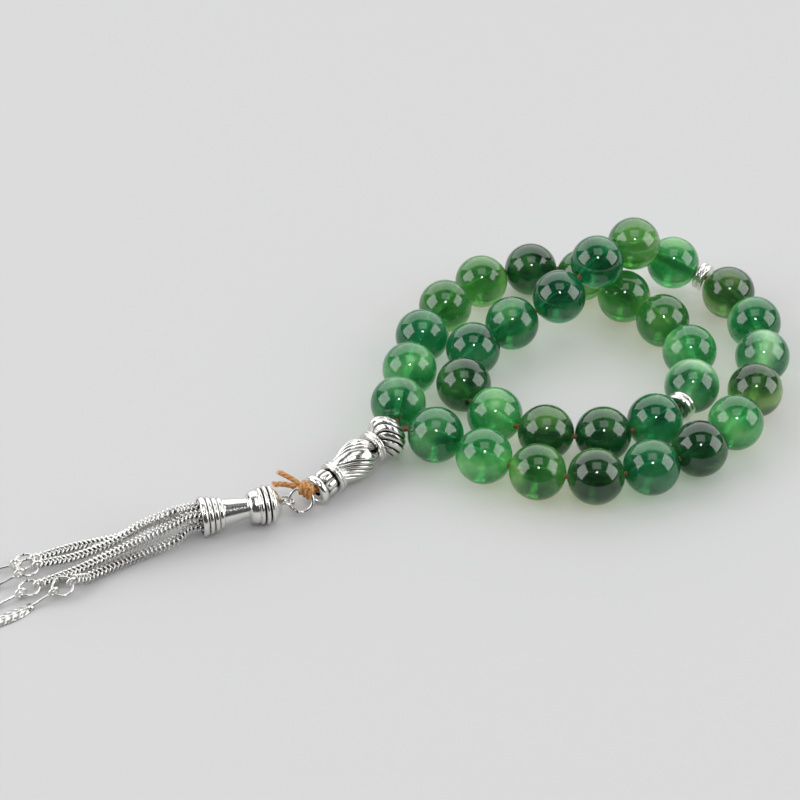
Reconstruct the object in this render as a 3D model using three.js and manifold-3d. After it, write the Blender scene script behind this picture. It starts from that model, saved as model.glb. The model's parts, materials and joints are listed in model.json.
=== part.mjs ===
// A string of prayer beads: three sets of round stone beads on one cord, laid down in two turns,
// with two divider discs, a turned metal leader piece (the imam), and a tassel of woven chains.
// Units are millimetres, +Z is up, and the string lies on the plane Z = 0.
import * as THREE from 'three';
import { mergeVertices } from 'three/addons/utils/BufferGeometryUtils.js';
import Module from 'manifold-3d';

const wasm = await Module();
wasm.setup();

// ---- Driving dimensions ----
const BEAD = { diameter: 10, bore: 1.5, perSet: 11, sets: 3, gap: 0.12 };
const CORD = { diameter: 1, sides: 8 };
const DIVIDER = { diameter: 5.4, length: 2.1, bore: 2, groove: 0.45, gap: 0.2 };
// Spare cord that shows as a gap after a bead: [bead number, length].
const SLACK = new Map([[4, 0.4], [5, 0.3]]);
const IMAM_BORE = 2.6;
const BALL = { diameter: 8.3, length: 5.4 };
const COLLAR = { diameter: 6, length: 1.4, bore: IMAM_BORE, groove: 0.45 };
const VASE = { diameter: 6.7, length: 8.1 };
const NECK_DISC = { diameter: 5.7, length: 1.3, bore: IMAM_BORE, groove: 0.4 };
const DRUM = { diameter: 4.8, length: 2.4 };
const END_DISC = { diameter: 5.5, length: 1.5 };
const PIECE_GAP = 0.12;
const KNOT = { size: [3.1, 2.6, 2.7], tunnelRadius: 0.65, strandOffset: 0.52, strandInset: 0.1 };
const JUMP_RING = { radius: 2.05, wire: 0.6 };
const CAP = { length: 14.6, bore: 1.2, mouthBore: 5.9 };
// The cap's outer profile from its mouth to its top, and its hollow back down: [radius, station].
const CAP_OUTSIDE = [
  [3.3, 0], [3.5, 0.5], [3.3, 1.1], [2.95, 1.25], [3.25, 1.8], [2.85, 2.3], [3, 2.8],
  [2.65, 3.2], [2.8, 3.6], [2.45, 4.1], [1.85, 8.3], [2.05, 8.5], [2.95, 10.1], [3.4, 10.7],
  [2.9, 11.4], [3.4, 12], [2.9, 12.7], [2.3, 13.6], [1.2, 14.4],
];
const CAP_HOLLOW = [[1.3, 7.4], [2.1, 4.1], [2.6, 2.6]];
const PIN = { wire: 0.54, loopRadius: 0.95, loopStation: 5.2 };
const EYE = { radius: 0.9, wire: 0.5 };
// A chain starts just inside the cap's mouth and leaves it along the cap's axis.
const CHAIN = { diameter: 1.8, mouthRadius: 1.78, inset: 0.3, straight: 2.5, steps: 11 };
const END_RING = { radius: 1.72, wire: 0.5 };
const CHARM = { stem: 3.4, stemDiameter: 0.6, blade: 12, width: 2.7, thickness: 0.6 };

const EYE_ROOT = 0.1;
const ALONG_STEP = 0.02;

// ---- Where things lie ----
// The cord's route, from the ball of the imam round both turns and back to it: about one point
// to a bead. It climbs over its own first turn between the eighteenth and the twenty-third.
const ROUTE = [
  [4.6, -2.4, 4.9], [4.7, 3.5, 5], [6.8, 13.6, 5], [9.2, 23.4, 5], [13.8, 32.7, 5],
  [21.2, 40.6, 5], [31.2, 44.2, 5], [41.3, 41.8, 5], [48.4, 34.6, 5], [54.8, 27.2, 5],
  [58.6, 18.2, 5], [57.9, 8.2, 5], [50.4, -1.5, 5], [40.4, -5.2, 5], [30.3, -4.4, 5],
  [21.8, 0.4, 5], [16.7, 8.2, 5], [18.1, 18, 5.3], [24.8, 25, 5.8], [33.4, 28.3, 9],
  [41.1, 34.1, 13.2], [48.8, 41.4, 13.1], [57.6, 43.7, 6.9], [66.9, 37.6, 5.1], [71.2, 28.4, 5],
  [71.9, 17.8, 5], [69.5, 7.7, 5], [64.8, -1.8, 5], [57.4, -9.2, 5], [47.9, -14.2, 5],
  [37.6, -16.4, 5], [27.6, -14.7, 5], [18.9, -10.4, 5], [11.3, -5.2, 5], [5.4, -3.2, 4.9],
].map(point);
const FIRST_BEAD = 5.9;
const BALL_CENTRE = point([2.7, -5.1, 4.6]);
const IMAM_DIRECTION = point([-0.703, -0.703, -0.103]).normalize();
const RING_CENTRE = point([-12.1, -19.85, 2.6]);
const RING_UP = point([0, 0.637, 0.771]).normalize();
const KNOT_ON_RING = 62;
const CAP_TOP = point([-15.2, -21, 3.4]);
const CAP_MOUTH = point([-29.2, -25.1, 3.55]);
const TAILS = [
  [[-11.6, -17.9, 4.2], [-13.4, -16.9, 4.9], [-15.9, -15.6, 5.3]],
  [[-11.9, -18.1, 3.9], [-14.2, -17.7, 4.4], [-16.6, -17.5, 4.2]],
].map((tail) => tail.map(point));
// Each chain: its place round the mouth (degrees, 0 on the far side, 90 on top), the points it
// runs through, the ring at its end and the tilt of that ring, and the way its charm points.
const CHAINS = [
  { mouthAngle: -18, ring: [-58.2, -33.6, 1.15], tilt: 0, charm: [-0.98, -0.2], charmAt: 205,
    route: [[-37.7, -26.1, 3], [-42.8, -27.9, 1.4], [-50.3, -30, 1.15]] },
  { mouthAngle: 54, ring: [-57.4, -36, 2], tilt: 10, charm: [-0.91, -0.42], charmAt: 225,
    route: [[-33.5, -26.1, 5.6], [-38.5, -27.9, 4.4], [-43.5, -30.3, 2.6], [-50, -33.3, 1.8]] },
  { mouthAngle: 126, ring: [-56.7, -40.1, 1.25], tilt: 4, charm: [-0.88, -0.475], charmAt: 222,
    route: [[-33, -27.9, 4.6], [-37, -30.1, 3.8], [-44.6, -34, 2.5], [-49.3, -36, 1.4]] },
  { mouthAngle: 198, ring: [-51.1, -40.2, 1.7], tilt: 20, charm: [-0.82, -0.57], charmAt: 216,
    route: [[-33, -29.3, 2.2], [-37.2, -31.1, 1.25], [-42, -33.8, 1], [-46.7, -37, 1]] },
];

// ---- Geometry helpers ----
function point([x, y, z]) {
  return new THREE.Vector3(x, y, z);
}

class Polyline extends THREE.Curve {
  constructor(points) {
    super();
    this.points = points;
  }

  getPoint(t, target = new THREE.Vector3()) {
    const last = this.points.length - 1;
    const i = Math.min(Math.floor(t * last), last - 1);
    return target.lerpVectors(this.points[i], this.points[i + 1], t * last - i);
  }

  getUtoTmapping(u) {
    return u;
  }
}

function roundSection(diameter, sides) {
  const section = new THREE.Shape();
  for (let i = 0; i < sides; i++) {
    const angle = (2 * Math.PI * i) / sides;
    const x = (diameter / 2) * Math.cos(angle);
    const y = (diameter / 2) * Math.sin(angle);
    if (i === 0) section.moveTo(x, y);
    else section.lineTo(x, y);
  }
  section.closePath();
  return section;
}

function tube(points, diameter, sides = CORD.sides) {
  return new THREE.ExtrudeGeometry(roundSection(diameter, sides), {
    steps: points.length - 1,
    extrudePath: new Polyline(points),
  });
}

function smooth(points, steps) {
  return new THREE.CatmullRomCurve3(points, false, 'centripetal').getPoints(steps);
}

// A turned piece: the profile is a closed loop of [radius, height] points about the Y axis.
function turned(profile, segments) {
  const points = [...profile, profile[0]].map(([r, h]) => new THREE.Vector2(r, h));
  return new THREE.LatheGeometry(points, segments);
}

function roundBody(diameter, length, bore, arcs, segments) {
  const start = Math.asin(bore / diameter);
  const profile = [];
  for (let i = 0; i <= arcs; i++) {
    const angle = start + ((Math.PI - 2 * start) * i) / arcs;
    profile.push([(diameter / 2) * Math.sin(angle), (-length / 2) * Math.cos(angle)]);
  }
  return turned(profile, segments);
}

function doubleRing({ diameter, length, bore, groove }, segments = 12) {
  const r = diameter / 2;
  const h = length / 2;
  return turned([
    [bore / 2, -h], [r - 0.35, -h], [r, -h / 2], [r - groove, 0], [r, h / 2], [r - 0.35, h],
    [bore / 2, h],
  ], segments);
}

// Turns and moves a geometry so that its Y axis runs along the given direction.
function along(geometry, centre, direction, up = new THREE.Vector3(0, 0, 1)) {
  const y = direction.clone().normalize();
  const x = y.clone().cross(up).normalize();
  const z = x.clone().cross(y);
  const frame = new THREE.Matrix4().makeBasis(x, y, z).setPosition(centre);
  return geometry.applyMatrix4(frame);
}

function torus(centre, normal, radius, wire, sides = 6, segments = 12) {
  const ring = new THREE.TorusGeometry(radius, wire / 2, sides, segments);
  ring.rotateX(-Math.PI / 2);
  const upright = Math.abs(normal.z) > 0.9;
  return along(ring, centre, normal, upright ? new THREE.Vector3(1, 0, 0) : undefined);
}

function levelAcross(direction) {
  return direction.clone().cross(new THREE.Vector3(0, 0, 1)).normalize();
}

function solid(geometry) {
  const bare = geometry.clone();
  bare.deleteAttribute('normal');
  bare.deleteAttribute('uv');
  const merged = mergeVertices(bare, 1e-4);
  return new wasm.Manifold(new wasm.Mesh({
    numProp: 3,
    vertProperties: new Float32Array(merged.attributes.position.array),
    triVerts: new Uint32Array(merged.index.array),
  }));
}

function fromSolid(body) {
  const { vertProperties, triVerts, numProp } = body.getMesh();
  const positions = new Float32Array((vertProperties.length / numProp) * 3);
  for (let i = 0; i < positions.length / 3; i++) {
    positions.set(vertProperties.subarray(i * numProp, i * numProp + 3), i * 3);
  }
  const geometry = new THREE.BufferGeometry();
  geometry.setAttribute('position', new THREE.BufferAttribute(positions, 3));
  geometry.setIndex(new THREE.BufferAttribute(new Uint32Array(triVerts), 1));
  geometry.computeVertexNormals();
  return geometry;
}

function joined(...geometries) {
  return fromSolid(geometries.map(solid).reduce((all, next) => all.add(next)));
}

// ---- The model ----
const stone = { color: 0x1f6b3f, roughness: 0.08, metalness: 0 };
const silver = { color: 0xc9c6bd, roughness: 0.28, metalness: 1 };
const waxedCord = { color: 0xc98545, roughness: 0.7, metalness: 0 };
const beads = new THREE.Group();

function addPiece(name, geometry, look) {
  const mesh = new THREE.Mesh(geometry, new THREE.MeshStandardMaterial(look));
  mesh.name = name;
  beads.add(mesh);
}

// Beads sit one after another along the route, each a fixed distance from the last.
const route = new THREE.CatmullRomCurve3(ROUTE, false, 'centripetal');
route.arcLengthDivisions = 2000;
const routeLength = route.getLength();

function nextAlong(from, start, distance) {
  let arc = start;
  while (route.getPointAt(arc / routeLength).distanceTo(from) < distance) arc += ALONG_STEP;
  return arc;
}

const beadCount = BEAD.perSet * BEAD.sets;
const centres = [];
let arc = FIRST_BEAD;
for (let i = 1; i <= beadCount; i++) {
  const centre = route.getPointAt(arc / routeLength);
  centres.push(centre);
  const between = i % BEAD.perSet === 0 ? DIVIDER.length + 2 * DIVIDER.gap : BEAD.gap;
  const distance = BEAD.diameter + between + (SLACK.get(i) ?? 0);
  if (i < beadCount) arc = nextAlong(centre, arc, distance);
}

// A bead's bore halves the angle that the cord turns through in it.
function boreAxis(i) {
  const before = centres[i - 1] ?? ROUTE[0];
  const after = centres[i + 1] ?? ROUTE[ROUTE.length - 1];
  const arriving = centres[i].clone().sub(before).normalize();
  const leaving = after.clone().sub(centres[i]).normalize();
  return arriving.add(leaving).normalize();
}

const cordPoints = [ROUTE[0]];
centres.forEach((centre, i) => {
  const axis = boreAxis(i);
  const bead = roundBody(BEAD.diameter, BEAD.diameter, BEAD.bore, 8, 10);
  addPiece(`bead_${String(i + 1).padStart(2, '0')}`, along(bead, centre, axis), stone);
  cordPoints.push(centre.clone().addScaledVector(axis, -BEAD.diameter / 2));
  cordPoints.push(centre.clone().addScaledVector(axis, BEAD.diameter / 2));
});
cordPoints.push(ROUTE[ROUTE.length - 1]);
addPiece('stringing_cord', tube(cordPoints, CORD.diameter), waxedCord);

// A divider disc rides on the cord between two sets.
for (let set = 1; set < BEAD.sets; set++) {
  const last = set * BEAD.perSet;
  const middle = cordPoints[2 * last].clone().lerp(cordPoints[2 * last + 1], 0.5);
  const across = centres[last].clone().sub(centres[last - 1]);
  addPiece(`divider_disc_${set}`, along(doubleRing(DIVIDER), middle, across), silver);
}

// The imam: six turned pieces on the two ends of the cord.
const onImam = (s) => BALL_CENTRE.clone().addScaledVector(IMAM_DIRECTION, s);
const imamBore = IMAM_BORE / 2;
const vaseRadius = VASE.diameter / 2;
const drumRadius = DRUM.diameter / 2;
const endRadius = END_DISC.diameter / 2;
const imamPieces = [
  ['imam_ball', BALL.length, roundBody(BALL.diameter, BALL.length, IMAM_BORE, 8, 14)],
  ['imam_collar_disc', COLLAR.length, doubleRing(COLLAR, 14)],
  ['imam_vase', VASE.length, turned([
    [imamBore, -VASE.length / 2], [vaseRadius * 0.62, -VASE.length / 2],
    [vaseRadius * 0.7, -VASE.length * 0.42], [vaseRadius * 0.93, -VASE.length * 0.28],
    [vaseRadius, -VASE.length * 0.12], [vaseRadius * 0.96, VASE.length * 0.04],
    [vaseRadius * 0.82, VASE.length * 0.22], [vaseRadius * 0.7, VASE.length * 0.38],
    [vaseRadius * 0.68, VASE.length / 2], [imamBore, VASE.length / 2],
  ], 14)],
  ['imam_neck_disc', NECK_DISC.length, doubleRing(NECK_DISC, 14)],
  ['imam_drum', DRUM.length, turned([
    [imamBore, -DRUM.length / 2], [drumRadius - 0.2, -DRUM.length / 2],
    [drumRadius, -DRUM.length * 0.35], [drumRadius, DRUM.length * 0.35],
    [drumRadius - 0.2, DRUM.length / 2], [imamBore, DRUM.length / 2],
  ], 14)],
  ['imam_end_disc', END_DISC.length, turned([
    [imamBore, -END_DISC.length / 2], [endRadius - 0.45, -END_DISC.length / 2],
    [endRadius, -END_DISC.length * 0.2], [endRadius, END_DISC.length * 0.3],
    [endRadius - 0.3, END_DISC.length / 2], [endRadius - 0.75, END_DISC.length / 2],
    [imamBore, 0.1],
  ], 14)],
];
let station = -BALL.length / 2;
for (const [name, length, geometry] of imamPieces) {
  addPiece(name, along(geometry, onImam(station + length / 2), IMAM_DIRECTION), silver);
  station += length + PIECE_GAP;
}

// The knot holds the jump ring; both ends of the cord run through the imam to it.
const ringAcross = new THREE.Vector3(1, 0, 0);
const ringNormal = ringAcross.clone().cross(RING_UP);
const onRing = (degrees) => {
  const angle = THREE.MathUtils.degToRad(degrees);
  return RING_CENTRE.clone()
    .addScaledVector(ringAcross, JUMP_RING.radius * Math.cos(angle))
    .addScaledVector(RING_UP, JUMP_RING.radius * Math.sin(angle));
};
const knotCentre = onRing(KNOT_ON_RING);
const strandSide = levelAcross(IMAM_DIRECTION);
const strands = [-KNOT.strandOffset, KNOT.strandOffset].map((offset) => {
  const inBore = [KNOT.strandInset - BALL.length / 2, station - KNOT.strandInset].map(
    (s) => onImam(s).addScaledVector(strandSide, offset),
  );
  return tube([...inBore, knotCentre.clone().addScaledVector(strandSide, offset / 2)], CORD.diameter);
});
const knotBody = new THREE.SphereGeometry(0.5, 12, 8).scale(...KNOT.size).translate(...knotCentre);
const tunnel = torus(RING_CENTRE, ringNormal, JUMP_RING.radius, 2 * KNOT.tunnelRadius, 8, 24);
const tails = TAILS.map((tail) => tube([knotCentre, ...tail], CORD.diameter));
const knotted = joined(...strands, knotBody, ...tails);
addPiece('imam_cord', fromSolid(solid(knotted).subtract(solid(tunnel))), waxedCord);
addPiece('jump_ring', torus(RING_CENTRE, ringNormal, JUMP_RING.radius, JUMP_RING.wire, 6, 18), silver);

// The tassel cap, turned, hollow from its mouth, with a hole in its top for the pin.
const capAxis = CAP_TOP.clone().sub(CAP_MOUTH).normalize();
const capTop = CAP_MOUTH.clone().addScaledVector(capAxis, CAP.length);
const onCap = (s) => CAP_MOUTH.clone().addScaledVector(capAxis, s);
const capProfile = [
  [CAP.mouthBore / 2, 0], ...CAP_OUTSIDE, [CAP.bore / 2, CAP.length], [CAP.bore / 2, 8],
  ...CAP_HOLLOW,
];
addPiece('tassel_cap', along(turned(capProfile, 16), CAP_MOUTH, capAxis), silver);

// The eye pin: an outer eye on the jump ring, a shank through the cap, an inner loop for the chains.
const eyeCentre = onRing(180);
const toEye = eyeCentre.clone().sub(capTop).normalize();
const eyeNormal = RING_UP.clone().addScaledVector(toEye, -RING_UP.dot(toEye)).normalize();
const shank = tube([
  eyeCentre.clone().addScaledVector(toEye, -EYE.radius), capTop.clone().addScaledVector(toEye, 0.25),
  onCap(CAP.length - 0.5), onCap(PIN.loopStation + PIN.loopRadius),
], PIN.wire, 6);
addPiece('eye_pin', joined(
  shank,
  torus(eyeCentre, eyeNormal, EYE.radius, PIN.wire),
  torus(onCap(PIN.loopStation), levelAcross(capAxis), PIN.loopRadius, PIN.wire),
), silver);

// A leaf charm lies flat: its blade's back is on the plane Z = 0, its stem runs up to an eye.
function leafShape() {
  const half = CHARM.width / 2;
  const leaf = new THREE.Shape();
  leaf.moveTo(0, -0.3);
  leaf.bezierCurveTo(1.5, -half * 1.1, CHARM.blade * 0.55, -half * 1.2, CHARM.blade, 0);
  leaf.bezierCurveTo(CHARM.blade * 0.55, half * 1.2, 1.5, half * 1.1, 0, 0.3);
  leaf.closePath();
  return leaf;
}

function charm(ringPoint, eyeAxis, direction) {
  const eyeEnd = ringPoint.clone().addScaledVector(direction, EYE.radius);
  const stemEnd = ringPoint.clone().addScaledVector(direction, EYE.radius + CHARM.stem);
  stemEnd.z = CHARM.thickness / 2;
  const blade = new THREE.ExtrudeGeometry(leafShape(), {
    depth: CHARM.thickness, bevelEnabled: false, curveSegments: 5,
  });
  blade.rotateZ(Math.atan2(direction.y, direction.x));
  blade.translate(stemEnd.x, stemEnd.y, 0);
  const stemTip = stemEnd.clone().addScaledVector(direction, 1);
  return joined(
    torus(ringPoint, eyeAxis, EYE.radius, EYE.wire),
    tube([eyeEnd, stemEnd, stemTip], CHARM.stemDiameter, 6),
    blade,
  );
}

const mouthSide = new THREE.Vector3(0, 0, 1).cross(capAxis).normalize();
const mouthUp = capAxis.clone().cross(mouthSide);
CHAINS.forEach((chain, i) => {
  const n = i + 1;
  const angle = THREE.MathUtils.degToRad(chain.mouthAngle);
  const start = onCap(CHAIN.inset)
    .addScaledVector(mouthSide, CHAIN.mouthRadius * Math.cos(angle))
    .addScaledVector(mouthUp, CHAIN.mouthRadius * Math.sin(angle));
  const leaving = start.clone().addScaledVector(capAxis, -CHAIN.straight);
  const ringCentre = point(chain.ring);
  const normal = new THREE.Vector3(0, 0, 1)
    .applyAxisAngle(new THREE.Vector3(1, 0, 0), THREE.MathUtils.degToRad(chain.tilt));
  const lastPoint = point(chain.route[chain.route.length - 1]);
  const toChain = lastPoint.clone().sub(ringCentre).projectOnPlane(normal).normalize();
  const holdPoint = ringCentre.clone().addScaledVector(toChain, END_RING.radius);
  const chainEnd = holdPoint.clone().addScaledVector(toChain, EYE.radius + EYE_ROOT);
  const line = smooth([start, leaving, ...chain.route.map(point), chainEnd], CHAIN.steps);
  const tangent = normal.clone().cross(toChain);
  addPiece(`chain_${n}`, joined(
    tube(line, CHAIN.diameter), torus(holdPoint, tangent, EYE.radius, EYE.wire),
  ), silver);
  addPiece(`end_ring_${n}`, torus(ringCentre, normal, END_RING.radius, END_RING.wire, 5, 16), silver);
  const out = THREE.MathUtils.degToRad(chain.charmAt);
  const outward = new THREE.Vector3(Math.cos(out), Math.sin(out), 0).projectOnPlane(normal).normalize();
  const charmPoint = ringCentre.clone().addScaledVector(outward, END_RING.radius);
  const charmWay = new THREE.Vector3(chain.charm[0], chain.charm[1], 0).normalize();
  const eyeAxis = normal.clone().cross(outward);
  addPiece(`charm_${n}`, charm(charmPoint, eyeAxis, charmWay), silver);
});

export default beads;
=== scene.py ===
"""A string of green agate prayer beads with a silver leader and a tassel of woven chains."""
import json
import math

import bpy
import numpy as np
from mathutils import Matrix, Vector


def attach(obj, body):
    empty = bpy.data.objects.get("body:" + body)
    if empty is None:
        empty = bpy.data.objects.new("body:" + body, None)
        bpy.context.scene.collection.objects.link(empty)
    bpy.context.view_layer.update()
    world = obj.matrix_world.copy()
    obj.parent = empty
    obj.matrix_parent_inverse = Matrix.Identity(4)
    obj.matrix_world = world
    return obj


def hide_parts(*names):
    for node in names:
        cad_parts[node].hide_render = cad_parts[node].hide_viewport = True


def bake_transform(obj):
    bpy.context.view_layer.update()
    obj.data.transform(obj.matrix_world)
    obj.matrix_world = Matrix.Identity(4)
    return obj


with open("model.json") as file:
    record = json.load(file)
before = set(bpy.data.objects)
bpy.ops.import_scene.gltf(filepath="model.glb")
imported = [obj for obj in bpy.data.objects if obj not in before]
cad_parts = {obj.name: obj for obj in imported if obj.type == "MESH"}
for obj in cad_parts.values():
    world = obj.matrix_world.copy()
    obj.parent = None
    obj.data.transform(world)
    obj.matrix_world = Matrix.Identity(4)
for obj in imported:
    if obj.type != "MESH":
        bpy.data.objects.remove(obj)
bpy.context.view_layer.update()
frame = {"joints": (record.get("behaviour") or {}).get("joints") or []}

MM = 0.001
JOINTS = {j["name"]: j for j in frame["joints"]}
Z = np.array([0.0, 0.0, 1.0])


def vec(*p):
    return np.array(p, float)


def unit(v):
    v = np.asarray(v, float)
    return v / np.linalg.norm(v)


def joint_point(name):
    return np.array(JOINTS[name]["pos_m"], float) / MM


def joint_axis(name):
    return unit(JOINTS[name]["axis"])


def smoothstep(t):
    t = np.clip(t, 0, 1)
    return t * t * (3 - 2 * t)


# ---- Camera ----
TARGET = vec(5.0, 10.5, 0.0)
ELEVATION = math.radians(39.599)
DISTANCE = 425.094
cam_data = bpy.data.cameras.new("camera")
cam_data.lens = 104.18
cam_data.sensor_width = 36.0
cam_data.clip_start = 0.01
camera = bpy.data.objects.new("camera", cam_data)
camera.location = Vector((TARGET + DISTANCE * vec(0, -math.cos(ELEVATION), math.sin(ELEVATION))) * MM)
camera.rotation_euler = (math.pi / 2 - ELEVATION, 0, 0)
bpy.context.scene.collection.objects.link(camera)
bpy.context.scene.camera = camera


# ---- Mesh helpers: all lengths in millimetres until a mesh is made ----
def make_piece(name, verts, faces, material, cavity=None, smooth=True):
    mesh = bpy.data.meshes.new(name)
    mesh.from_pydata((np.asarray(verts) * MM).tolist(), [], faces)
    mesh.validate()
    mesh.polygons.foreach_set("use_smooth", [smooth] * len(mesh.polygons))
    if cavity is not None:
        layer = mesh.attributes.new("cavity", "FLOAT", "POINT")
        layer.data.foreach_set("value", np.asarray(cavity, np.float32))
    mesh.materials.append(material)
    mesh.update()
    piece = bpy.data.objects.new(name, mesh)
    bpy.context.scene.collection.objects.link(piece)
    return piece


def grid_faces(rows, columns, close_rows, close_columns, offset=0):
    faces = []
    for i in range(rows if close_rows else rows - 1):
        for j in range(columns if close_columns else columns - 1):
            a, b = i * columns + j, i * columns + (j + 1) % columns
            c, d = (i + 1) % rows * columns + (j + 1) % columns, (i + 1) % rows * columns + j
            faces.append((offset + a, offset + b, offset + c, offset + d))
    return faces


def signed_volume(verts, faces):
    total = 0.0
    for size in sorted({len(f) for f in faces}):
        index = np.array([f for f in faces if len(f) == size])
        for k in range(1, size - 1):
            a, b, c = (verts[index[:, j]] for j in (0, k, k + 1))
            total += float(np.einsum("ij,ij->", a, np.cross(b, c)))
    return total / 6


class Solid:
    """Several closed shells gathered into one mesh."""

    def __init__(self):
        self.verts, self.faces, self.cavity = [], [], []
        self.count = 0

    def add(self, verts, faces, cavity=None):
        verts = np.asarray(verts, float)
        if signed_volume(verts, faces) < 0:
            faces = [f[::-1] for f in faces]
        self.verts.append(verts)
        self.faces += [tuple(i + self.count for i in f) for f in faces]
        self.cavity.append(np.zeros(len(verts)) if cavity is None else np.ravel(cavity))
        self.count += len(verts)
        return self

    def piece(self, name, material):
        return make_piece(name, np.concatenate(self.verts), self.faces, material,
                          np.concatenate(self.cavity))


def frame_matrix(direction, up=Z):
    """Columns x, y, z with z along direction."""
    z = unit(direction)
    if abs(np.dot(z, unit(up))) > 0.98:
        up = vec(1, 0, 0)
    x = unit(np.cross(up, z))
    return np.column_stack([x, np.cross(z, x), z])


def lathe(profile, segments, shape=None):
    """A closed turned body about Z. profile is a closed loop of (radius, height);
    shape(r, h, angle) may move the radius. Gives verts, faces, cavity."""
    profile = np.asarray(profile, float)
    angle = np.linspace(0, 2 * np.pi, segments, endpoint=False)
    r = np.repeat(profile[:, :1], segments, 1)
    h = np.repeat(profile[:, 1:], segments, 1)
    a = np.repeat(angle[None, :], len(profile), 0)
    depth = np.zeros_like(r)
    if shape is not None:
        moved = shape(r, h, a)
        depth = r - moved
        r = moved
    verts = np.stack([r * np.cos(a), r * np.sin(a), h], 2).reshape(-1, 3)
    return verts, grid_faces(len(profile), segments, True, True), depth


def placed(verts, centre, matrix):
    return np.asarray(verts) @ matrix.T + np.asarray(centre)


def catmull(points, per_span=12):
    """A smooth line through the points, bunched as a centripetal spline is."""
    p = [np.asarray(q, float) for q in points]
    p = [2 * p[0] - p[1]] + p + [2 * p[-1] - p[-2]]
    out = []
    for i in range(1, len(p) - 2):
        a, b, c, d = p[i - 1:i + 3]
        t0 = 0.0
        t1 = t0 + max(np.linalg.norm(b - a), 1e-6) ** 0.5
        t2 = t1 + max(np.linalg.norm(c - b), 1e-6) ** 0.5
        t3 = t2 + max(np.linalg.norm(d - c), 1e-6) ** 0.5
        for k in range(per_span):
            t = t1 + (t2 - t1) * k / per_span
            a1 = (t1 - t) / (t1 - t0) * a + (t - t0) / (t1 - t0) * b
            a2 = (t2 - t) / (t2 - t1) * b + (t - t1) / (t2 - t1) * c
            a3 = (t3 - t) / (t3 - t2) * c + (t - t2) / (t3 - t2) * d
            b1 = (t2 - t) / (t2 - t0) * a1 + (t - t0) / (t2 - t0) * a2
            b2 = (t3 - t) / (t3 - t1) * a2 + (t - t1) / (t3 - t1) * a3
            out.append((t2 - t) / (t2 - t1) * b1 + (t - t1) / (t2 - t1) * b2)
    out.append(p[-2])
    return np.array(out)


def spaced(line, step):
    """The same line with points an equal step apart."""
    seg = np.linalg.norm(np.diff(line, axis=0), axis=1)
    s = np.concatenate([[0], np.cumsum(seg)])
    n = max(2, int(round(s[-1] / step)) + 1)
    t = np.linspace(0, s[-1], n)
    return np.stack([np.interp(t, s, line[:, k]) for k in range(3)], 1)


def along(line, closed=False, normal=None):
    """Tangents and side directions carried along a line without twisting."""
    if closed:
        tangent = np.roll(line, -1, 0) - np.roll(line, 1, 0)
    else:
        tangent = np.gradient(line, axis=0)
    tangent /= np.linalg.norm(tangent, axis=1)[:, None]
    side = normal if normal is not None else np.cross(tangent[0], vec(0.3, 0.2, 1))
    sides = []
    for t in tangent:
        side = side - t * np.dot(side, t)
        side = side / np.linalg.norm(side)
        sides.append(side)
    sides = np.array(sides)
    return tangent, sides, np.cross(tangent, sides)


def sweep(line, radius, sides=10, closed=False, lobes=0, lobe_depth=0.0, lay=4.0, normal=None):
    """A round wire or a twisted cord along a line, as one closed shell: verts, faces, groove depth."""
    _, x, y = along(line, closed, normal)
    n = len(line)
    radius = np.broadcast_to(np.asarray(radius, float), (n,))
    angle = np.linspace(0, 2 * np.pi, sides, endpoint=False)
    s = np.concatenate([[0], np.cumsum(np.linalg.norm(np.diff(line, axis=0), axis=1))])
    depth = np.zeros((n, sides))
    if lobes:
        phase = lobes * (angle[None, :] + 2 * np.pi * s[:, None] / lay) / 2
        depth = lobe_depth * (1 - np.abs(np.sin(phase))) ** 1.5
    r = radius[:, None] - depth
    ring = (line[:, None, :] + x[:, None, :] * (r * np.cos(angle))[:, :, None]
            + y[:, None, :] * (r * np.sin(angle))[:, :, None])
    verts = ring.reshape(-1, 3)
    faces = grid_faces(n, sides, closed, True)
    if not closed:
        verts = np.vstack([verts, line[0], line[-1]])
        first, last = n * sides, n * sides + 1
        for j in range(sides):
            k = (j + 1) % sides
            faces.append((first, k, j))
            faces.append((last, (n - 1) * sides + j, (n - 1) * sides + k))
        depth = np.concatenate([depth.ravel(), [0, 0]])
    return verts, faces, depth


def ring_line(centre, axis_a, axis_b, radius_a, radius_b=None, points=64):
    t = np.linspace(0, 2 * np.pi, points, endpoint=False)[:, None]
    radius_b = radius_a if radius_b is None else radius_b
    return np.asarray(centre) + np.cos(t) * radius_a * np.asarray(axis_a) \
        + np.sin(t) * radius_b * np.asarray(axis_b)


# ---- Materials ----
def new_material(name):
    material = bpy.data.materials.new(name)
    material.use_nodes = True
    tree = material.node_tree
    tree.nodes.clear()
    out = tree.nodes.new("ShaderNodeOutputMaterial")
    shader = tree.nodes.new("ShaderNodeBsdfPrincipled")
    tree.links.new(shader.outputs[0], out.inputs["Surface"])
    return material, tree, shader, out


def node(tree, kind, **settings):
    made = tree.nodes.new(kind)
    for key, value in settings.items():
        if key in made.inputs.keys():
            made.inputs[key].default_value = value
        else:
            setattr(made, key, value)
    return made


def ramp(tree, source, stops):
    made = tree.nodes.new("ShaderNodeValToRGB")
    elements = made.color_ramp.elements
    while len(elements) > 1:
        elements.remove(elements[-1])
    elements[0].position, elements[0].color = stops[0][0], (*stops[0][1], 1)
    for position, colour in stops[1:]:
        element = elements.new(position)
        element.color = (*colour, 1)
    tree.links.new(source, made.inputs["Fac"])
    return made


def map_range(tree, source, low, high, to_low=0.0, to_high=1.0):
    made = node(tree, "ShaderNodeMapRange")
    for i, value in zip((1, 2, 3, 4), (low, high, to_low, to_high)):
        made.inputs[i].default_value = value
    tree.links.new(source, made.inputs["Value"])
    return made.outputs["Result"]


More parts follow.
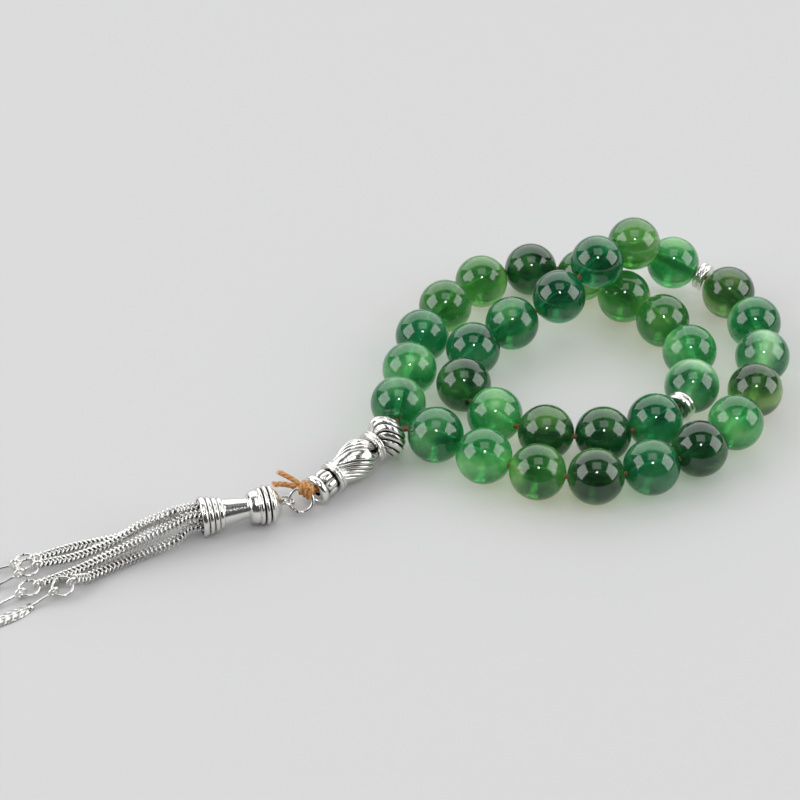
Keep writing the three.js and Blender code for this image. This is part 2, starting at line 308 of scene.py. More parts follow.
def mix_colour(tree, factor, a, b):
    made = tree.nodes.new("ShaderNodeMix")
    made.data_type = "RGBA"
    for socket, value in ((0, factor), (6, a), (7, b)):
        if hasattr(value, "is_output"):
            tree.links.new(value, made.inputs[socket])
        elif socket == 0:
            made.inputs[0].default_value = value
        else:
            made.inputs[socket].default_value = (*value, 1)
    return made.outputs[2]


# Each kind of agate: dark, body and light colour, what it lets through, how much, how banded.
AGATE = {
    "D": dict(dark=(0.004, 0.038, 0.015), body=(0.011, 0.095, 0.033), light=(0.060, 0.210, 0.058),
              through=(0.26, 0.72, 0.32), density=180, clear=0.60, banding=0.3),
    "K": dict(dark=(0.010, 0.052, 0.018), body=(0.030, 0.125, 0.042), light=(0.140, 0.320, 0.085),
              through=(0.42, 0.78, 0.28), density=120, clear=0.60, banding=0.4),
    "T": dict(dark=(0.003, 0.100, 0.044), body=(0.012, 0.200, 0.082), light=(0.090, 0.340, 0.140),
              through=(0.20, 0.80, 0.46), density=110, clear=0.62, banding=0.3),
    "E": dict(dark=(0.006, 0.140, 0.052), body=(0.026, 0.232, 0.090), light=(0.150, 0.450, 0.165),
              through=(0.28, 0.86, 0.46), density=90, clear=0.62, banding=0.35),
    "G": dict(dark=(0.014, 0.200, 0.066), body=(0.060, 0.345, 0.120), light=(0.240, 0.580, 0.220),
              through=(0.40, 0.92, 0.46), density=70, clear=0.62, banding=0.5),
    "Y": dict(dark=(0.022, 0.150, 0.038), body=(0.060, 0.248, 0.064), light=(0.200, 0.440, 0.122),
              through=(0.50, 0.88, 0.30), density=85, clear=0.62, banding=0.4),
    "M": dict(dark=(0.026, 0.180, 0.072), body=(0.145, 0.410, 0.205), light=(0.370, 0.630, 0.360),
              through=(0.46, 0.90, 0.56), density=80, clear=0.54, banding=0.9),
    "O": dict(dark=(0.020, 0.085, 0.028), body=(0.074, 0.185, 0.056), light=(0.290, 0.430, 0.140),
              through=(0.50, 0.82, 0.34), density=105, clear=0.60, banding=0.6),
}


def agate(name, kind, seed):
    """Cloudy translucent agate, tumbled to a wet gloss, with soft bands across it. Lamps shine
    through it, so its shadow is pale and green."""
    look = AGATE[kind]
    material, tree, shader, out = new_material(name)
    coordinates = node(tree, "ShaderNodeTexCoord")
    turn = node(tree, "ShaderNodeMapping")
    rng = np.random.default_rng(100 + seed)
    turn.inputs["Rotation"].default_value = tuple(rng.uniform(-2, 2, 3))
    turn.inputs["Location"].default_value = tuple(rng.uniform(-0.05, 0.05, 3))
    tree.links.new(coordinates.outputs["Object"], turn.inputs["Vector"])
    clouds = node(tree, "ShaderNodeTexNoise", Scale=150.0, Detail=3.0, Roughness=0.45,
                  Distortion=0.8)
    tree.links.new(turn.outputs[0], clouds.inputs["Vector"])
    bands = node(tree, "ShaderNodeTexWave", Scale=38.0, Distortion=3.5, Detail=2.0)
    bands.inputs["Detail Scale"].default_value = 1.2
    tree.links.new(turn.outputs[0], bands.inputs["Vector"])
    fine = node(tree, "ShaderNodeTexNoise", Scale=900.0, Detail=3.0, Roughness=0.6)
    tree.links.new(turn.outputs[0], fine.inputs["Vector"])
    cloud = map_range(tree, clouds.outputs["Fac"], 0.3, 0.7)
    blend = node(tree, "ShaderNodeMix", data_type="FLOAT")
    blend.inputs[0].default_value = look["banding"]
    tree.links.new(cloud, blend.inputs[2])
    tree.links.new(bands.outputs["Fac"], blend.inputs[3])
    veined = node(tree, "ShaderNodeMix", data_type="FLOAT")
    veined.inputs[0].default_value = 0.12
    tree.links.new(blend.outputs[0], veined.inputs[2])
    tree.links.new(fine.outputs["Fac"], veined.inputs[3])
    colour = ramp(tree, veined.outputs[0],
                  [(0.12, look["dark"]), (0.5, look["body"]), (0.9, look["light"])])
    tree.links.new(colour.outputs["Color"], shader.inputs["Base Color"])
    clear = map_range(tree, veined.outputs[0], 0.1, 0.9, look["clear"] + 0.12, look["clear"] - 0.12)
    tree.links.new(clear, shader.inputs["Transmission Weight"])
    shader.inputs["Roughness"].default_value = 0.07
    shader.inputs["IOR"].default_value = 1.54
    shader.inputs["Coat Weight"].default_value = 0.2
    shader.inputs["Coat Roughness"].default_value = 0.06
    shader.inputs["Subsurface Weight"].default_value = 0.7
    shader.inputs["Subsurface Radius"].default_value = (0.0015, 0.0040, 0.0018)
    shader.inputs["Subsurface Scale"].default_value = 1.0
    absorb = node(tree, "ShaderNodeVolumeAbsorption", Density=float(look["density"]))
    absorb.inputs["Color"].default_value = (*look["through"], 1)
    tree.links.new(absorb.outputs[0], out.inputs["Volume"])
    lamp_side = node(tree, "ShaderNodeBsdfTransparent")
    lamp_side.inputs["Color"].default_value = (1.0, 0.88, 0.91, 1)
    rays = node(tree, "ShaderNodeLightPath")
    pick = node(tree, "ShaderNodeMixShader")
    tree.links.new(rays.outputs["Is Shadow Ray"], pick.inputs[0])
    tree.links.new(shader.outputs[0], pick.inputs[1])
    tree.links.new(lamp_side.outputs[0], pick.inputs[2])
    tree.links.new(pick.outputs[0], out.inputs["Surface"])
    return material


def silver(name, bright=(0.86, 0.85, 0.82), tarnish=(0.012, 0.011, 0.009), polish=0.11,
           grime_and_painted_shade=0.0, scale=1.0):
    """Antiqued silver: polished high spots, dark oxide left in the grooves."""
    material, tree, shader, _ = new_material(name)
    coordinates = node(tree, "ShaderNodeTexCoord")
    cavity = node(tree, "ShaderNodeAttribute", attribute_name="cavity")
    patch = node(tree, "ShaderNodeTexNoise", Scale=700.0 * scale, Detail=5.0, Roughness=0.62)
    grain = node(tree, "ShaderNodeTexNoise", Scale=4200.0 * scale, Detail=3.0, Roughness=0.6)
    scratch = node(tree, "ShaderNodeTexNoise", Scale=1500.0 * scale, Detail=2.0, Distortion=3.0)
    for texture in (patch, grain, scratch):
        tree.links.new(coordinates.outputs["Object"], texture.inputs["Vector"])
    spread = node(tree, "ShaderNodeMath", operation="MULTIPLY_ADD")
    tree.links.new(patch.outputs["Fac"], spread.inputs[0])
    spread.inputs[1].default_value = 0.5
    spread.inputs[2].default_value = -0.27 + grime_and_painted_shade
    total = node(tree, "ShaderNodeMath", operation="ADD")
    tree.links.new(cavity.outputs["Fac"], total.inputs[0])
    tree.links.new(spread.outputs[0], total.inputs[1])
    dark = map_range(tree, total.outputs[0], 0.2, 0.75)
    worn = mix_colour(tree, patch.outputs["Fac"], tuple(0.86 * c for c in bright), bright)
    colour = mix_colour(tree, dark, worn, tarnish)
    tree.links.new(colour, shader.inputs["Base Color"])
    shader.inputs["Metallic"].default_value = 1.0
    rough = node(tree, "ShaderNodeMath", operation="MULTIPLY_ADD")
    tree.links.new(dark, rough.inputs[0])
    rough.inputs[1].default_value = 0.42
    base = map_range(tree, scratch.outputs["Fac"], 0.3, 0.7, polish, polish + 0.12)
    tree.links.new(base, rough.inputs[2])
    tree.links.new(rough.outputs[0], shader.inputs["Roughness"])
    bump = node(tree, "ShaderNodeBump", Strength=0.25, Distance=0.00006)
    both = node(tree, "ShaderNodeMath", operation="ADD")
    tree.links.new(grain.outputs["Fac"], both.inputs[0])
    tree.links.new(patch.outputs["Fac"], both.inputs[1])
    tree.links.new(both.outputs[0], bump.inputs["Height"])
    tree.links.new(bump.outputs[0], shader.inputs["Normal"])
    return material


def waxed_cord(name, tint=1.0):
    """Orange-tan waxed cord: fine fibres, a dull shine, and painted shade wherever the mesh's cavity
    attribute is high, such as between its strands.
    """
    material, tree, shader, _ = new_material(name)
    coordinates = node(tree, "ShaderNodeTexCoord")
    cavity = node(tree, "ShaderNodeAttribute", attribute_name="cavity")
    patch = node(tree, "ShaderNodeTexNoise", Scale=900.0, Detail=4.0)
    fibre = node(tree, "ShaderNodeTexNoise", Scale=6000.0, Detail=3.0, Roughness=0.7)
    for texture in (patch, fibre):
        tree.links.new(coordinates.outputs["Object"], texture.inputs["Vector"])
    base = ramp(tree, patch.outputs["Fac"],
                [(0.3, (0.60 * tint, 0.25 * tint, 0.045)), (0.55, (0.80 * tint, 0.42 * tint, 0.10)),
                 (0.75, (0.90 * tint, 0.60 * tint, 0.24))])
    speck = map_range(tree, fibre.outputs["Fac"], 0.35, 0.7)
    worn = mix_colour(tree, speck, (0.46, 0.18, 0.045), base.outputs["Color"])
    # Painted shade: the cavity attribute darkens the cord towards a deep brown.
    painted_shade_mask = map_range(tree, cavity.outputs["Fac"], 0.1, 0.8)
    colour = mix_colour(tree, painted_shade_mask, worn, (0.13, 0.035, 0.009))
    tree.links.new(colour, shader.inputs["Base Color"])
    shader.inputs["Roughness"].default_value = 0.38
    shader.inputs["Sheen Weight"].default_value = 0.1
    shader.inputs["Subsurface Weight"].default_value = 0.1
    shader.inputs["Subsurface Radius"].default_value = (0.0006, 0.0003, 0.0001)
    bump = node(tree, "ShaderNodeBump", Strength=0.5, Distance=0.00008)
    tree.links.new(fibre.outputs["Fac"], bump.inputs["Height"])
    tree.links.new(bump.outputs[0], shader.inputs["Normal"])
    return material


SILVER = silver("antiqued_silver")
SILVER_WIRE = silver("silver_wire", bright=(0.78, 0.77, 0.74), polish=0.14, scale=1.4)
SILVER_CHAIN = silver("silver_chain", bright=(0.88, 0.87, 0.84), polish=0.2, scale=1.6)
CORD_LOOK = waxed_cord("waxed_cord")
FRAY_LOOK = waxed_cord("frayed_cord", tint=1.2)

# ---- Where the leader and the tassel lie ----
BALL_CENTRE = joint_point("imam_swing")
IMAM = joint_axis("imam_ball_spin")
ACROSS = unit(np.cross(IMAM, Z))
RING_CENTRE = joint_point("jump_ring_turn")
RING_NORMAL = joint_axis("jump_ring_turn")
RING_X = vec(1, 0, 0)
RING_UP = unit(np.cross(RING_NORMAL, RING_X))
if RING_UP[2] < 0:
    RING_UP = -RING_UP
RING_RADIUS = 2.05


def on_imam(s):
    return BALL_CENTRE + IMAM * s


def on_ring(degrees):
    a = math.radians(degrees)
    return RING_CENTRE + RING_RADIUS * (math.cos(a) * RING_X + math.sin(a) * RING_UP)


KNOT = on_ring(62)
TAIL_ONE = [(-15.9, -15.6, 5.3), (-14.6, -16.4, 5.15), (-13.2, -17.2, 4.8), (-12.2, -17.9, 4.4)]
TAIL_TWO = [(-16.6, -17.5, 4.2), (-15.3, -17.6, 4.35), (-13.9, -17.9, 4.3), (-12.5, -18.3, 4.1)]
BEAD_COUNT = 33
BEAD_RADIUS = 5.02
CORD_RADIUS = 0.5

bead_centres = [joint_point(f"bead_{i:02d}_spin") for i in range(1, BEAD_COUNT + 1)]
bead_axes = [joint_axis(f"bead_{i:02d}_spin") for i in range(1, BEAD_COUNT + 1)]


# ---- The cord: one length, from one tail through the leader, round the loop and back ----
def wrap(centre, axis, radius, pitch, turns, start, points=14):
    m = frame_matrix(axis)
    t = np.linspace(0, turns, int(points * turns) + 1)
    a = start + 2 * np.pi * t
    return [centre + m @ vec(radius * math.cos(q), radius * math.sin(q), pitch * (k - turns / 2))
            for q, k in zip(a, t)]


IMAM_END = 18.0
to_imam = unit(on_imam(IMAM_END) - KNOT)
knot_axis = unit(np.array(KNOT) - np.array(TAIL_ONE[-1]) + 0.6 * to_imam)
coil = wrap(KNOT + 0.15 * knot_axis, knot_axis, 0.92, 0.78, 3, 0.6)
band = wrap(KNOT + 0.1 * Z, unit(np.cross(knot_axis, vec(0.2, -0.5, 1))), 0.95, 0.3, 1, 2.6)
# Two strands side by side in the leader, the first one on the side where the first bead lies.
STRAND_STATIONS = (16.9, 13, 9, 5, 1, -2.3)
first_side = float(np.dot(bead_centres[0] - BALL_CENTRE, ACROSS))
lane = 0.52 if first_side > 0 else -0.52
up_strand = [on_imam(s) + lane * ACROSS for s in STRAND_STATIONS]
down_strand = [on_imam(s) - lane * ACROSS for s in STRAND_STATIONS[::-1]]
STRAIGHT_IN_BEAD = 3.6
loop_points = []
for centre, axis in zip(bead_centres, bead_axes):
    loop_points += [centre - STRAIGHT_IN_BEAD * axis, centre, centre + STRAIGHT_IN_BEAD * axis]
cord_line = catmull(
    TAIL_ONE + coil + up_strand + loop_points + down_strand + band + TAIL_TWO[::-1], 8)
cord_line = spaced(cord_line, 0.3)
cord_solid = Solid()
STRAND_DEPTH = 0.15
# Painted shade: the cord is darkened inside the beads and just outside them, where the beads shade it.
SHADE_REACH = 7.0
verts, faces, depth = sweep(cord_line, CORD_RADIUS, 14, lobes=3, lobe_depth=STRAND_DEPTH, lay=3.0)
away = np.min([np.linalg.norm(verts - c, axis=1) for c in bead_centres], axis=0)
# This mask is painted shade: full inside and right beside the beads, fading out 7 mm from their centres.
grime_and_painted_shade = 0.7 * smoothstep((SHADE_REACH - away) / 1.5)
# The cord's cavity attribute is all painted shade: the grooves between the strands plus the shade near
# the beads.
cord_solid.add(verts, faces, np.clip(np.ravel(depth) / STRAND_DEPTH + grime_and_painted_shade, 0, 1))
cord = cord_solid.piece("cord", CORD_LOOK)
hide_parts("stringing_cord", "imam_cord")
# The cord bends between the ball's mouth and the first bead, so it meets neither when it swings.
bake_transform(cord)

# Frayed fibres at the two cut ends.
fray = Solid()
rng = np.random.default_rng(7)
for tail in (TAIL_ONE, TAIL_TWO):
    end, before = np.array(tail[0]), np.array(tail[1])
    out = unit(end - before)
    m = frame_matrix(out)
    for k in range(14):
        a = rng.uniform(0, 2 * np.pi)
        r = rng.uniform(0.05, 0.38)
        root = end - 0.5 * out + m @ vec(r * math.cos(a), r * math.sin(a), 0)
        tip = end + out * rng.uniform(0.25, 0.75) + m @ vec(
            1.5 * r * math.cos(a), 1.5 * r * math.sin(a), 0) + vec(0, 0, rng.uniform(-0.1, 0.1))
        line = catmull([root, (root + tip) / 2 + 0.06 * rng.normal(size=3), tip], 4)
        fray.add(*sweep(line, np.linspace(0.09, 0.03, len(line)), 5))
fray_piece = fray.piece("cord_fray", FRAY_LOOK)
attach(fray_piece, "imam")

# ---- Beads ----
# One letter of AGATE for each bead, in their order along the cord.
BEAD_KINDS = "EGTYYDYYYGMTDKGDTETTYGOEMOGDTKYGE"
BORE = 0.75


def bead_profile(arcs=44):
    lip = 0.12
    start = math.asin((BORE + lip) / BEAD_RADIUS)
    t = np.linspace(start, np.pi - start, arcs)
    outer = [(BEAD_RADIUS * math.sin(a), -BEAD_RADIUS * math.cos(a)) for a in t]
    end = BEAD_RADIUS * math.cos(start)
    rim = [(BORE + 0.04, end - 0.02), (BORE, end - 0.12)]
    inner = [(BORE, h) for h in np.linspace(end - 1.2, -end + 1.2, 6)]
    low = [(BORE, -end + 0.12), (BORE + 0.04, -end + 0.02)]
    return outer + rim + inner + low


BEAD_PROFILE = bead_profile()
for i, (centre, axis) in enumerate(zip(bead_centres, bead_axes), 1):
    name = f"bead_{i:02d}"
    verts, faces, depth = lathe(BEAD_PROFILE, 72)
    verts = placed(verts, centre, frame_matrix(axis))
    look = agate(f"agate_{i:02d}", BEAD_KINDS[i - 1], i)
    stone = Solid().add(verts, faces).piece(f"{name}_stone", look)
    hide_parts(name)
    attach(stone, name)


# ---- Turned silver pieces ----
def ring_profile(bore, rings, length, gap_radius, steps=11):
    """A row of half-round rings over a bore. rings: (middle height, half width, outer radius)."""
    h = np.linspace(-length / 2, length / 2, int(steps * len(rings) * 2) + 1)
    r = np.full(len(h), gap_radius)
    for middle, half, top in rings:
        t = np.clip(np.abs(h - middle) / half, 0, 1)
        r = np.maximum(r, gap_radius + (top - gap_radius) * np.sqrt(1 - t ** 2.2))
    outer = list(zip(r, h))
    top = max(ring[2] for ring in rings)
    cavity = 0.85 * np.clip((top - r) / (top - gap_radius + 1e-6), 0, 1) ** 3
    cavity[[0, -1]] = 0.3
    face = [(bore + 0.15, length / 2), (bore, length / 2 - 0.12), (bore, 0),
            (bore, 0.12 - length / 2), (bore + 0.15, -length / 2)]
    return outer + face, np.concatenate([cavity, [0.15, 0.8, 0.9, 0.8, 0.15]])


def turned_piece(name, profile, cavity, segments, centre, direction, material=SILVER, shape=None,
                 spin=0.0, shade=1.0):
    verts, faces, depth = lathe(profile, segments, shape)
    full = np.zeros(len(profile))
    full[:len(cavity)] = cavity
    full[len(cavity):] = 0.9
    total = np.clip(full[:, None] + np.clip(depth, 0, None) * shade, 0, 1)
    m = frame_matrix(direction) @ np.array(Matrix.Rotation(spin, 3, "Z"))
    return Solid().add(placed(verts, centre, m), faces, total.ravel()).piece(name, material)


for k in (1, 2):
    joint = f"divider_disc_{k}_spin"
    profile, cavity = ring_profile(1.0, [(-0.53, 0.52, 2.7), (0.53, 0.52, 2.7)], 2.1, 2.15)
    disc = turned_piece(f"divider_{k}", profile, 0.6 * cavity, 72, joint_point(joint), joint_axis(joint))
    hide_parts(f"divider_disc_{k}")
    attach(disc, f"divider_disc_{k}")

IMAM_BORE = 1.3
GAP = 0.12
LENGTHS = dict(ball=5.4, collar=1.4, vase=8.1, neck=1.3, drum=2.4, end=1.5)
stations, s = {}, -LENGTHS["ball"] / 2
for part, length in LENGTHS.items():
    stations[part] = s + length / 2
    s += length + GAP


def flutes(count, twist, depth, sharp=2.2, fade=None):
    """Rounded ridges with narrow grooves between, wound round the axis."""
    def shape(r, h, a):
        ridge = np.abs(np.sin(count * (a - twist * h) / 2))
        cut = depth * (1 - ridge) ** sharp
        if fade is not None:
            cut = cut * fade(h)
        return np.where(r > IMAM_BORE + 0.25, r - cut, r)
    return shape


def finish_imam(piece, cad, body):
    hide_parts(cad)
    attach(piece, body)


BALL_R, BALL_H = 4.12, 2.7
t = np.linspace(math.asin(IMAM_BORE / BALL_R) + 0.02, math.pi - math.asin(IMAM_BORE / BALL_R) - 0.02, 48)
ball_heights = -BALL_H * np.cos(t)
# Its flank toward the loop is eased, so that it clears the last bead when the leader swings.
ball_radii = BALL_R * np.sin(t) - 0.28 * np.exp(-((ball_heights + 1.1) / 0.9) ** 2)
ball_outer = list(zip(ball_radii, ball_heights))
ball_profile = ball_outer + [(IMAM_BORE, 2.35), (IMAM_BORE, 0), (IMAM_BORE, -2.35)]
ball = turned_piece("imam_ball_fluted", ball_profile, np.zeros(len(ball_outer)), 240,
                    on_imam(stations["ball"]), IMAM,
                    shape=flutes(10, 0.40, 0.85, 3.0, lambda h: 1 - 0.5 * (np.abs(h) / BALL_H) ** 4),
                    shade=2.0)
finish_imam(ball, "imam_ball", "imam_ball")

profile, cavity = ring_profile(IMAM_BORE, [(-0.34, 0.36, 3.0), (0.36, 0.34, 3.02)], 1.4, 2.45)
finish_imam(turned_piece("imam_collar", profile, cavity, 96, on_imam(stations["collar"]), IMAM),
            "imam_collar_disc", "imam_collar_disc")

VASE_H = 4.05
vase_heights = np.linspace(-VASE_H, VASE_H, 84)
vase_radii = 3.35 * np.interp(
    vase_heights / (2 * VASE_H), [-0.5, -0.42, -0.28, -0.12, 0.04, 0.22, 0.38, 0.5],
    [0.62, 0.74, 0.95, 1.0, 0.96, 0.82, 0.70, 0.68])
vase_radii = np.convolve(np.pad(vase_radii, 4, "edge"), np.ones(9) / 9, "valid")
vase_outer = list(zip(vase_radii, vase_heights))
vase_profile = vase_outer + [(IMAM_BORE, VASE_H), (IMAM_BORE, 0), (IMAM_BORE, -VASE_H)]


def vase_shape(r, h, a):
    """Three smooth petals wound round the body, with four narrow flutes between each two."""
    x = np.mod(3 * (a - 0.2 * h) / (2 * np.pi), 1.0)
    petal = x < 0.42
    edge = np.minimum(x, 0.42 - x) / 0.21
    raised = np.where(petal, 0.12 * np.sqrt(np.clip(edge, 0, 1)), 0)
    flute = np.abs(np.sin(np.pi * (x - 0.42) / 0.58 * 4))
    cut = np.where(petal, 0.5 * (1 - np.clip(edge * 5, 0, 1)), 0.5 * (1 - flute) ** 2.0)
    notch = 0.8 * smoothstep((-h - 2.0) / 1.2) * np.where(petal, np.exp(-((x - 0.30) / 0.07) ** 2), 0)
    fade = 0.5 + 0.5 * smoothstep((3.9 - np.abs(h)) / 1.5)
    return np.where(r > IMAM_BORE + 0.25, r + (raised - cut) * fade - notch, r)


to_camera = frame_matrix(IMAM).T @ vec(0, -math.cos(ELEVATION), math.sin(ELEVATION))
facing = math.atan2(to_camera[1], to_camera[0])
vase = turned_piece("imam_vase_fluted", vase_profile, np.zeros(len(vase_outer)), 300,
                    on_imam(stations["vase"]), IMAM, shape=vase_shape, spin=facing - 0.25, shade=1.8)
finish_imam(vase, "imam_vase", "imam_vase")

profile, cavity = ring_profile(IMAM_BORE, [(-0.32, 0.33, 2.82), (0.33, 0.32, 2.85)], 1.3, 2.35)
finish_imam(turned_piece("imam_neck", profile, cavity, 96, on_imam(stations["neck"]), IMAM),
            "imam_neck_disc", "imam_neck_disc")

drum_heights = np.linspace(-1.2, 1.2, 30)
drum_radii = 2.4 - 0.25 * (np.abs(drum_heights) / 1.2) ** 6
drum_outer = list(zip(drum_radii, drum_heights))


def drum_shape(r, h, a):
    petal = np.abs(np.sin(7 * a / 2)) ** 0.7
    arch = np.sqrt(np.clip(1 - (h / 1.05) ** 2, 0, 1))
    cut = 0.42 * (1 - np.clip(petal * (0.35 + 0.65 * arch), 0, 1)) ** 1.2
    return np.where(r > IMAM_BORE + 0.25, r - cut, r)


drum = turned_piece("imam_drum_chased", drum_outer + [(IMAM_BORE, 1.2), (IMAM_BORE, -1.2)],
                    np.zeros(len(drum_outer)), 200, on_imam(stations["drum"]), IMAM,
                    shape=drum_shape, shade=2.0)
finish_imam(drum, "imam_drum", "imam_drum")

END_BORE = 1.12
end_outer = [(2.0, -0.75), (2.25, -0.72), (2.5, -0.6), (2.68, -0.4), (2.75, -0.15), (2.75, 0.12),
             (2.7, 0.38), (2.58, 0.6), (2.4, 0.72), (2.2, 0.74), (2.08, 0.68), (1.98, 0.56),
             (1.85, 0.45), (1.6, 0.40), (1.35, 0.40), (1.2, 0.36), (END_BORE, 0.26)]
end_cavity = [0.5, 0.2, 0, 0, 0, 0, 0, 0, 0, 0, 0.15, 0.4, 0.35, 0.1, 0.1, 0.4, 0.9]
end_disc = turned_piece("imam_end_ring", end_outer + [(END_BORE, -0.3), (END_BORE, -0.75)],
                        np.array(end_cavity), 96, on_imam(stations["end"]), IMAM)
finish_imam(end_disc, "imam_end_disc", "imam_end_disc")

# ---- Jump ring, with a fine joint line where its ends meet ----
wire = ring_line(RING_CENTRE, RING_X, RING_UP, RING_RADIUS, points=120)
radius = np.full(120, 0.3)
radius[84], radius[85] = 0.25, 0.25
verts, faces, depth = sweep(wire, radius, 14, closed=True, normal=RING_NORMAL)
joint_line = np.repeat((0.3 - radius) * 16, 14)
jump_ring = Solid().add(verts, faces, joint_line).piece("jump_ring_wire", SILVER_WIRE)
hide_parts("jump_ring")
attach(jump_ring, "jump_ring")

# ---- Tassel cap ----
CAP_MOUTH = vec(-29.2, -25.1, 3.55)
CAP = unit(vec(-15.2, -21, 3.4) - CAP_MOUTH)
CAP_LENGTH = 14.6


def on_cap(s):
    return CAP_MOUTH + CAP * s


# The cap's plain outline, (station, radius) from its mouth to its top, then the rings turned on it,
# (middle, half width, radius), then its hollow back down, (radius, station).
CAP_OUTLINE = [
    (0, 3.0), (0.1, 3.1), (1.1, 2.9), (2.2, 2.7), (3.2, 2.5), (4.05, 2.3), (4.3, 2.36), (8.2, 1.8),
    (8.3, 1.74), (8.42, 2.3), (8.8, 2.68), (9.4, 2.92), (9.95, 2.98), (10.2, 2.8), (12.8, 2.72),
    (13.1, 2.6), (13.7, 2.0), (14.2, 1.2), (14.6, 0.62)]
CAP_RINGS = [(0.58, 0.6, 3.5), (1.68, 0.44, 3.28), (2.64, 0.43, 3.06), (3.56, 0.42, 2.84),
             (10.55, 0.40, 3.28), (11.5, 0.43, 3.46), (12.45, 0.40, 3.3)]
CAP_HOLLOW = [(0.62, 13.8), (0.62, 9), (0.9, 8.2), (1.3, 7.4), (1.7, 5.6), (2.1, 4.1), (2.45, 2.8),
              (2.7, 1.6), (2.85, 0.6), (2.92, 0.12)]
cap_s = np.linspace(0, CAP_LENGTH, 240)
cap_base = np.interp(cap_s, *zip(*CAP_OUTLINE))
cap_base = np.convolve(np.pad(cap_base, 1, "edge"), np.ones(3) / 3, "valid")
cap_r = cap_base.copy()
for middle, half, top in CAP_RINGS:
    t = np.clip(np.abs(cap_s - middle) / half, 0, 1)
    cap_r = np.maximum(cap_r, cap_base + (top - cap_base) * np.sqrt(1 - t ** 2.4) * (t < 1))
# Oxide is left where the outline lies below higher metal on both of its sides.
NEAR = 9
around = np.array([min(cap_r[max(0, i - NEAR):i + 1].max(), cap_r[i:i + NEAR + 1].max())
                   for i in range(len(cap_r))])
cap_cavity = np.clip((around - cap_r - 0.08) / 0.3, 0, 1)
smooth_zone = ((cap_s > 4.5) & (cap_s < 8.0)) | ((cap_s > 8.7) & (cap_s < 9.9)) | (cap_s > 13.2)
cap_cavity = np.where(smooth_zone, 0, cap_cavity)
cap_profile = list(zip(cap_r, cap_s)) + CAP_HOLLOW
cap = turned_piece("tassel_cap_turned", cap_profile, cap_cavity, 120, CAP_MOUTH, CAP)
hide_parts("tassel_cap")
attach(cap, "tassel")

# ---- Eye pin: the outer eye holds the jump ring, the inner loop holds the chains ----
eye_centre = joint_point("tassel_swing")
cap_top = on_cap(CAP_LENGTH)
to_eye = unit(eye_centre - cap_top)
eye_normal = unit(RING_UP - to_eye * np.dot(RING_UP, to_eye))
eye_side = unit(np.cross(eye_normal, to_eye))
eye_lean = math.radians(40)
eye_normal = math.cos(eye_lean) * eye_normal - math.sin(eye_lean) * eye_side
eye_side = unit(np.cross(eye_normal, to_eye))
PIN_WIRE = 0.26
pin = Solid()
outer_eye = ring_line(eye_centre - 0.4 * to_eye, to_eye, eye_side, 1.3, 0.98, 56)
pin.add(*sweep(outer_eye, PIN_WIRE, 12, closed=True, normal=eye_normal))
shank = spaced(catmull([eye_centre - 1.6 * to_eye, cap_top + 0.2 * to_eye, on_cap(13.9), on_cap(10),
                        on_cap(6.2)], 10), 0.35)
pin.add(*sweep(shank, PIN_WIRE, 12))
twist = wrap(cap_top + 0.25 * to_eye, to_eye, 0.42, 0.34, 1.5, 0.4, 16)
pin.add(*sweep(np.array(twist), 0.17, 10))
cap_side = unit(np.cross(CAP, Z))
cap_up = unit(np.cross(cap_side, CAP))
inner_loop = ring_line(on_cap(5.2), CAP, cap_up, 0.95, points=40)
pin.add(*sweep(inner_loop, PIN_WIRE, 10, closed=True, normal=cap_side))
pin_piece = pin.piece("eye_pin_wire", SILVER_WIRE)
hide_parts("eye_pin")
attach(pin_piece, "tassel")

# ---- Chains, end rings and leaf charms ----
CHAIN_RADIUS = 1.02
LINK_WIRE = 0.16
LINK_PITCH = 0.39
RING_R, RING_WIRE = 1.72, 0.25
EYE_R, EYE_WIRE = 0.9, 0.25
CHARM_STEM = 3.4
# Each chain: its place round the cap's mouth in degrees (0 at the far side, 90 on top), the ring at
# its end and that ring's tilt, the way its charm points and where on the ring it hangs, and the
# points that the chain runs through.
CHAINS = [
    dict(angle=-18, ring=(-58.2, -33.6, 1.15), tilt=0, charm=(-0.98, -0.2), charm_at=205,
         route=[(-37.7, -26.1, 3), (-42.8, -27.9, 1.4), (-50.3, -30, 1.15)]),
    dict(angle=54, ring=(-57.4, -36, 2), tilt=10, charm=(-0.91, -0.42), charm_at=225,
         route=[(-33.5, -26.1, 5.6), (-38.5, -27.9, 4.4), (-43.5, -30.3, 2.6), (-50, -33.3, 1.8)]),
    dict(angle=126, ring=(-56.7, -40.1, 1.25), tilt=4, charm=(-0.88, -0.475), charm_at=222,
         route=[(-33, -27.9, 4.6), (-37, -30.1, 3.8), (-44.6, -34, 2.5), (-49.3, -36, 1.4)]),
    dict(angle=198, ring=(-51.1, -40.2, 1.7), tilt=20, charm=(-0.82, -0.57), charm_at=216,
         route=[(-33, -29.3, 2.2), (-37.2, -31.1, 1.25), (-42, -33.8, 1), (-46.7, -37, 1)]),
]
mouth_side = unit(np.cross(Z, CAP))
mouth_up = np.cross(CAP, mouth_side)

LINK_T = np.linspace(0, 2 * np.pi, 18, endpoint=False)
# A link is an oval bent in two, so that its ends point along the chain on opposite sides.
LINK_X = (CHAIN_RADIUS - LINK_WIRE) * np.cos(LINK_T)
LINK_Y = 0.42 * np.sin(LINK_T)
LINK_Z = 0.66 * np.abs(np.cos(LINK_T)) ** 1.3


